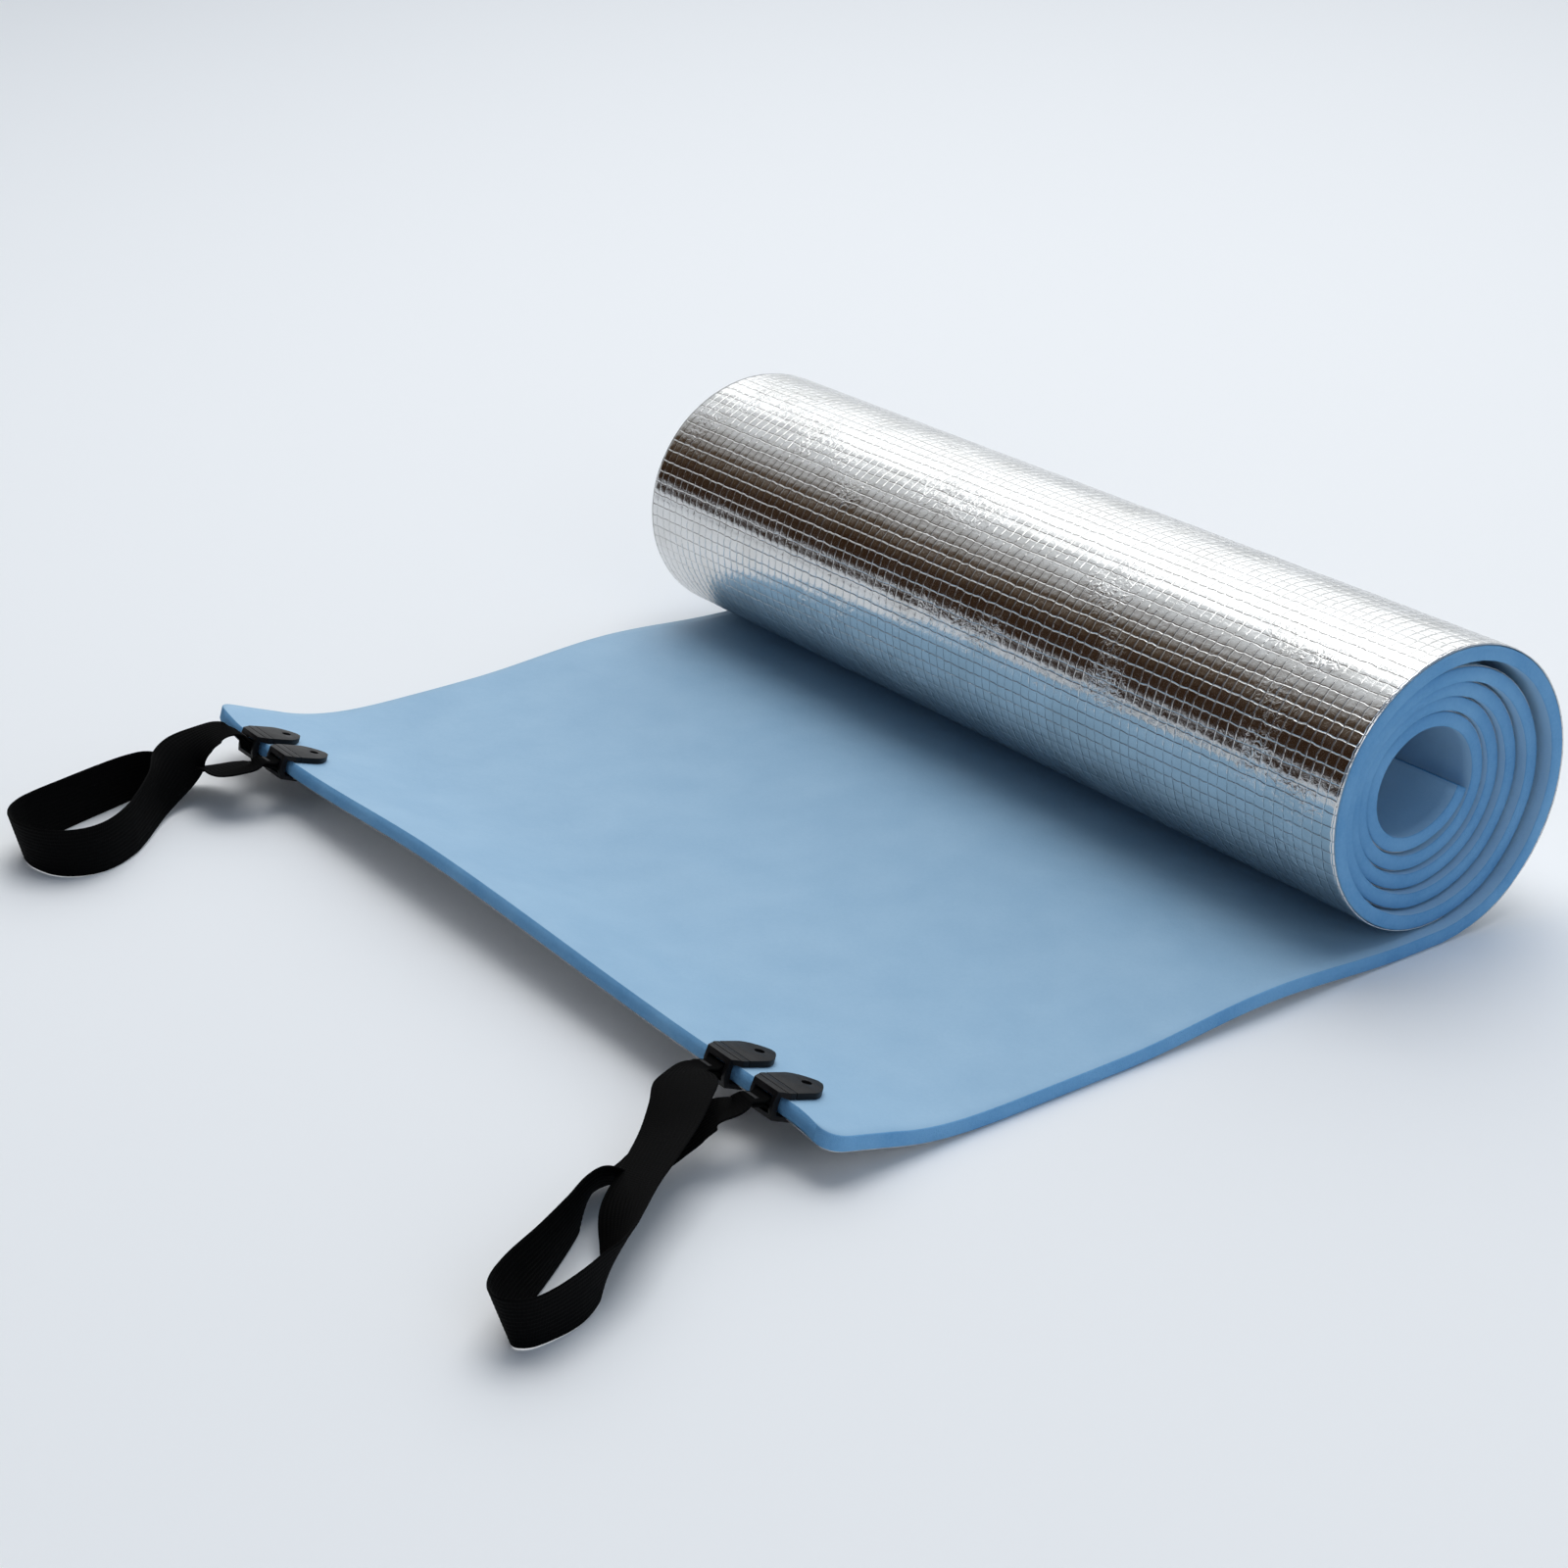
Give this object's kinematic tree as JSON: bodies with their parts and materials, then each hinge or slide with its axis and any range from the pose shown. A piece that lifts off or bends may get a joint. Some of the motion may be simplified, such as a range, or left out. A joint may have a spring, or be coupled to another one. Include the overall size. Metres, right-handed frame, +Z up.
{
  "type": "foam sleeping pad",
  "caption": "Partly unrolled foam sleeping pad with a foil facing, snap clips on its open edge and elastic carry loops.",
  "frame": {"origin": "middle of the bottom of the bounding box, on the floor the pad lies on", "axes": "+X across the pad's width and along the roll, +Y from the open edge with the loops towards the roll, +Z up"},
  "size_m": [0.544, 0.553, 0.1352],
  "materials": {
    "foam_blue": "matt closed-cell foam, smooth skin",
    "aluminised_film": "bright metallised plastic film embossed with a small grid",
    "clip_plastic": "moulded, half matt",
    "elastic_webbing": "woven elastic with fine lengthwise ribs",
    "black_thread": "sewn bar tack"
  },
  "bodies": {
    "mat": {"foam_mat": "foam_blue", "foil_facing_open": "aluminised_film", "foil_facing_rolled": "aluminised_film", "clip_base_near_inner": "clip_plastic", "clip_base_near_outer": "clip_plastic", "clip_base_far_outer": "clip_plastic", "clip_base_far_inner": "clip_plastic"},
    "near_inner_leaf": {"clip_leaf_near_inner": "clip_plastic"},
    "near_outer_leaf": {"clip_leaf_near_outer": "clip_plastic"},
    "far_outer_leaf": {"clip_leaf_far_outer": "clip_plastic"},
    "far_inner_leaf": {"clip_leaf_far_inner": "clip_plastic"},
    "near_strap": {"elastic_strap_near": "elastic_webbing", "bar_tack_near_inner": "black_thread", "bar_tack_near_outer": "black_thread"},
    "far_strap": {"elastic_strap_far": "elastic_webbing", "bar_tack_far_inner": "black_thread", "bar_tack_far_outer": "black_thread"}
  },
  "joints": [
    {"name": "near_inner_leaf_hinge", "type": "hinge", "parent": "mat", "child": "near_inner_leaf", "pos_m": [0.17895, -0.11777, 0.02746], "axis": [1, 0, 0], "range_deg": [0, 75]},
    {"name": "near_outer_leaf_hinge", "type": "hinge", "parent": "mat", "child": "near_outer_leaf", "pos_m": [0.20945, -0.11777, 0.02746], "axis": [1, 0, 0], "range_deg": [0, 75]},
    {"name": "far_outer_leaf_hinge", "type": "hinge", "parent": "mat", "child": "far_outer_leaf", "pos_m": [-0.21105, -0.11777, 0.02746], "axis": [1, 0, 0], "range_deg": [0, 75]},
    {"name": "far_inner_leaf_hinge", "type": "hinge", "parent": "mat", "child": "far_inner_leaf", "pos_m": [-0.18305, -0.11777, 0.02746], "axis": [1, 0, 0], "range_deg": [0, 75]},
    {"name": "near_strap_swing", "type": "hinge", "parent": "mat", "child": "near_strap", "pos_m": [0.1942, -0.12629, 0.02353], "axis": [-1, 0, 0], "range_deg": [0, 40]},
    {"name": "far_strap_swing", "type": "hinge", "parent": "mat", "child": "far_strap", "pos_m": [-0.19705, -0.12629, 0.02353], "axis": [-1, 0, 0], "range_deg": [0, 12]}
  ]
}
